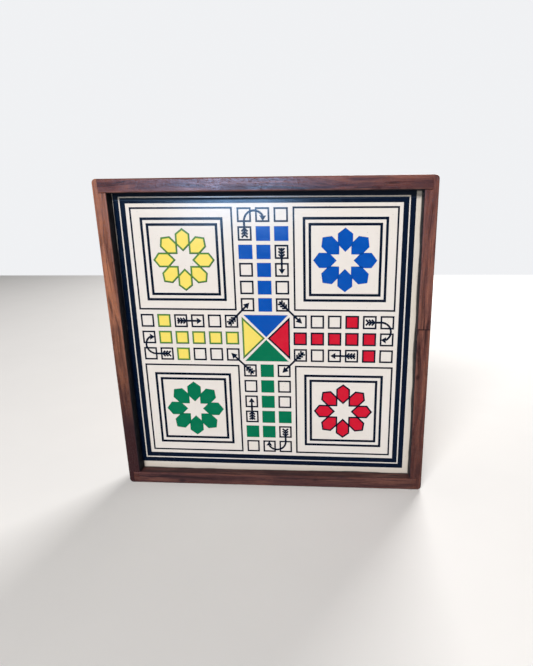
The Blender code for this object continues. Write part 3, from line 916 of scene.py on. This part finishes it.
PLY_TONES = ((0.640, 0.430, 0.220), (0.560, 0.360, 0.175), (0.400, 0.230, 0.100))
PLY_SMUDGE = (0.300, 0.190, 0.100)
carrom_ply, tree, shader = finish_of("carrom_ply", Coat_Weight=0.40, Coat_Roughness=0.10,
                                     Specular_IOR_Level=0.40)
at = object_coordinates(tree, LEVEL, (0.3, 0.2, 0.9))
grain = grain_on(tree, at, PLY_TONES, Streaks=0.22, Pores=0.10, Band_Scale=0.35)
smudge = smudge_on(tree, at, 12.0)
surfaced(tree, shader, blend_colours(tree, times(tree, smudge, 0.25), grain["Colour"], PLY_SMUDGE),
         ramp(tree, smudge, 0.0, 1.0, 0.20, 0.36), grain["Height"], 0.15)
coated(nodes["carrom_panel"].data, carrom_ply)

# Markings of the usual kind, at the size of this field: base lines with red end circles, corner
# arrows with a curl, and a flower of eight petals in the middle circle.
BASE_OUT, BASE_THICK = 0.2205, 0.0050      # middle of the field to the thick line, and its width
BASE_IN, BASE_THIN = 0.1955, 0.0024
BASE_HALF = 0.1880                         # half the base lines' length
SPOT = 0.0132                              # radius of the base circles and of the centre circle
SPOT_LINE = 0.0016
BASE_RED, CENTRE_RED = SPOT - 0.0024, SPOT - 0.0010
ARROW_FROM, ARROW_TO = 0.3320, 0.1200      # both from the middle of the field
ARROW_LINE = 0.0018
CURL, CURL_OPEN = 0.0240, 130.0
CURL_HEAD, CURL_HEAD_HALF, CURL_AHEAD = 0.0090, 0.0038, 0.0060
CIRCLE = 0.0700
RINGS = ((CIRCLE, 0.0026), (CIRCLE - 0.0042, 0.0010), (SPOT + SPOT_LINE, SPOT_LINE))
FLOWER_IN, FLOWER_WIDEST, FLOWER_OUT = 0.0175, 0.0400, 0.0640
FLOWER_HALF, FLOWER_GAP = 0.0095, 0.0004
black_ink = ink("carrom_ink_black", (0.006, 0.005, 0.005), (0.030, 0.022, 0.018))
red_ink = ink("carrom_ink_red", (0.420, 0.016, 0.012), (0.520, 0.060, 0.030))


def disc(x, y, radius, steps=40):
    return arc(x, y, radius, 0, 360 - 360 / steps, steps - 1)


black, red = bmesh.new(), bmesh.new()
base_middle = (BASE_OUT + BASE_IN) / 2
run = BASE_HALF - SPOT
coat(black, rectangle(0.0, BASE_OUT, 2 * run, BASE_THICK))
coat(black, rectangle(0.0, BASE_IN, 2 * run, BASE_THIN))
for side in (-1, 1):
    coat(black, disc(side * BASE_HALF, base_middle, SPOT + SPOT_LINE),
         disc(side * BASE_HALF, base_middle, SPOT))
    coat(red, disc(side * BASE_HALF, base_middle, BASE_RED))
diagonal = Vector((math.sqrt(0.5), math.sqrt(0.5)))
stroke(black, [diagonal * ARROW_FROM, diagonal * ARROW_TO], ARROW_LINE)
hub = diagonal * (ARROW_TO + CURL)
curl = arc(hub.x, hub.y, CURL, 225 - CURL_OPEN, 225 + CURL_OPEN, 36)
stroke(black, curl, ARROW_LINE, top=SHAFT_COAT)
for end, before in ((curl[0], curl[1]), (curl[-1], curl[-2])):
    heading = (Vector(end) - Vector(before)).normalized()
    arrow_head(black, Vector(end) + heading * CURL_AHEAD,
               math.degrees(math.atan2(heading.y, heading.x)), CURL_HEAD, CURL_HEAD_HALF)

# The middle: rings, and petals whose halves are black and red.
black_half, red_half = bmesh.new(), bmesh.new()
coat(black_half, [(FLOWER_IN, 0.0), (FLOWER_WIDEST, -FLOWER_HALF), (FLOWER_OUT, 0.0)])
coat(red_half, [(FLOWER_IN, FLOWER_GAP), (FLOWER_OUT, FLOWER_GAP), (FLOWER_WIDEST, FLOWER_HALF)])
ON_CARROM_FACE = (Matrix.Translation((0.0, CARROM_FACE, BOARD / 2))
                  @ Matrix.Rotation(math.pi, 4, "Z") @ Matrix.Rotation(math.pi / 2, 4, "X"))
for name, art, half, finish in (("black", black, black_half, black_ink),
                                ("red", red, red_half, red_ink)):
    field = bmesh.new()
    for stamp, count in ((art, QUARTERS), (half, PETALS)):
        field.from_mesh(repeated(mesh_of(stamp, "stamp"), round_tree, finish, Count=count))
    if name == "red":
        coat(field, disc(0.0, 0.0, CENTRE_RED))
    else:
        for outside, width in RINGS:
            coat(field, disc(0.0, 0.0, outside, 72), disc(0.0, 0.0, outside - width, 72))
    printed("carrom_print_" + name, field, finish, ON_CARROM_FACE)


# ---------------------------------------------------------------------------------------------
# Pocket cups: shallow moulded tubs of black plastic, glued to the back of the carrom sheet behind
# its holes, so that the ludo sheet in front of them can be whole.

PLASTIC, SCUFFED = (0.010, 0.010, 0.011), (0.028, 0.027, 0.026)
black_plastic, tree, shader = finish_of("black_plastic", Specular_IOR_Level=0.40)
at = object_coordinates(tree)
smudge = smudge_on(tree, at, 45.0)
surfaced(tree, shader, blend_colours(tree, smudge, PLASTIC, SCUFFED),
         ramp(tree, smudge, 0.0, 1.0, 0.34, 0.55), mottled(tree, at, 1500.0), 0.25, 0.0001)
CUP_WALL, CUP_FLOOR, CUP_SOFT = 0.0011, 0.0012, 0.0010
CUP_STEPS = 96
RING_OUT, RING_IN, RING_SLOPE, RING_RISE = 0.52, 0.42, 0.02, 0.0005    # moulded on the cup's floor
for corner in ("bottom_left", "bottom_right", "top_left", "top_right"):
    name = "pocket_cup_" + corner
    low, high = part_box(name)
    outside, tall = (high.x - low.x) / 2, high.y - low.y
    inside, step = outside - CUP_WALL, CUP_WALL / 4
    profile = [(0.0, outside - CUP_SOFT), (CUP_SOFT * 0.3, outside - CUP_SOFT * 0.3),
               (CUP_SOFT, outside), (tall - step, outside), (tall, outside - step),
               (tall, inside + step), (tall - step, inside), (CUP_FLOOR + 2 * CUP_SOFT, inside),
               (CUP_FLOOR + 0.6 * CUP_SOFT, inside - 0.6 * CUP_SOFT),
               (CUP_FLOOR, inside - 2 * CUP_SOFT), (CUP_FLOOR, inside * RING_OUT),
               (CUP_FLOOR + RING_RISE, inside * (RING_OUT - RING_SLOPE)),
               (CUP_FLOOR + RING_RISE, inside * (RING_IN + RING_SLOPE)),
               (CUP_FLOOR, inside * RING_IN)]
    cup = solid(name + "_moulded", turned(
        profile, "Y", CUP_STEPS, ((low.x + high.x) / 2, low.y, (low.z + high.z) / 2)),
        black_plastic)
    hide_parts(name)
    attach(cup, "root")


# ---------------------------------------------------------------------------------------------
# Corner nails: plain steel wire nails, two at each corner, driven through the side rail's tongue
# into the end of the cross rail, and set just under the wood.

BRIGHT_STEEL, RUST = (0.380, 0.370, 0.360), (0.120, 0.055, 0.030)
nail_steel, tree, shader = finish_of("nail_steel")
rusted = ramp(tree, mottled(tree, object_coordinates(tree), 900.0, 4.0), 0.45, 0.62)
surfaced(tree, shader, blend_colours(tree, rusted, BRIGHT_STEEL, RUST),
         ramp(tree, rusted, 0.0, 1.0, 0.32, 0.75), rusted, 0.4, 0.0001)
tree.links.new(ramp(tree, rusted, 0.0, 1.0, 1.0, 0.25), shader.inputs["Metallic"])
NAIL_POINT = 0.0030
shank_end = NAIL_END - NAIL_POINT
profile = [(NAIL_SINK, NAIL_HEAD_RADIUS * 0.55), (NAIL_SINK + 0.0001, NAIL_HEAD_RADIUS * 0.85),
           (NAIL_SINK + 0.0004, NAIL_HEAD_RADIUS), (HEAD_UNDER - 0.0002, NAIL_HEAD_RADIUS),
           (HEAD_UNDER, NAIL_HEAD_RADIUS * 0.85), (HEAD_UNDER, NAIL_RADIUS),
           (shank_end, NAIL_RADIUS), (NAIL_END, NAIL_RADIUS * 0.12)]
for name, (side, spot) in nail_spots.items():
    nail = solid(name + "_driven", turned(profile, "X", ROUND_STEPS, spot, -side), nail_steel)
    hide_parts(name)
    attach(nail, "root")


# ---------------------------------------------------------------------------------------------
# Wood inside the board: crossed braces halved together, corner blocks round the cups, and the
# two dowels of the splice. All of it is bare sawn wood, glued in.

SAWN_TONES = ((0.620, 0.430, 0.250), (0.520, 0.340, 0.180), (0.340, 0.200, 0.100))


def bare_wood(name, turn, move):
    made, tree, shader = finish_of(name, Specular_IOR_Level=0.25)
    grain = grain_on(tree, object_coordinates(tree, turn, move), SAWN_TONES, Streaks=0.35,
                     Pores=0.20, Band_Scale=0.8)
    surfaced(tree, shader, grain["Colour"], ramp(tree, grain["Gloss Loss"], 0.0, 1.0, 0.62, 0.85),
             grain["Height"], 0.5, 0.0004)
    return made


sawn_upright = bare_wood("sawn_wood_upright", UPRIGHT, (0.4, 0.6, 0.1))
sawn_level = bare_wood("sawn_wood_level", LEVEL, (0.9, 0.3, 0.7))
for name, node in nodes.items():
    if name.startswith(("brace", "corner_block", "splice_dowel")):
        coated(node.data, sawn_level if name == "brace_across" else sawn_upright)
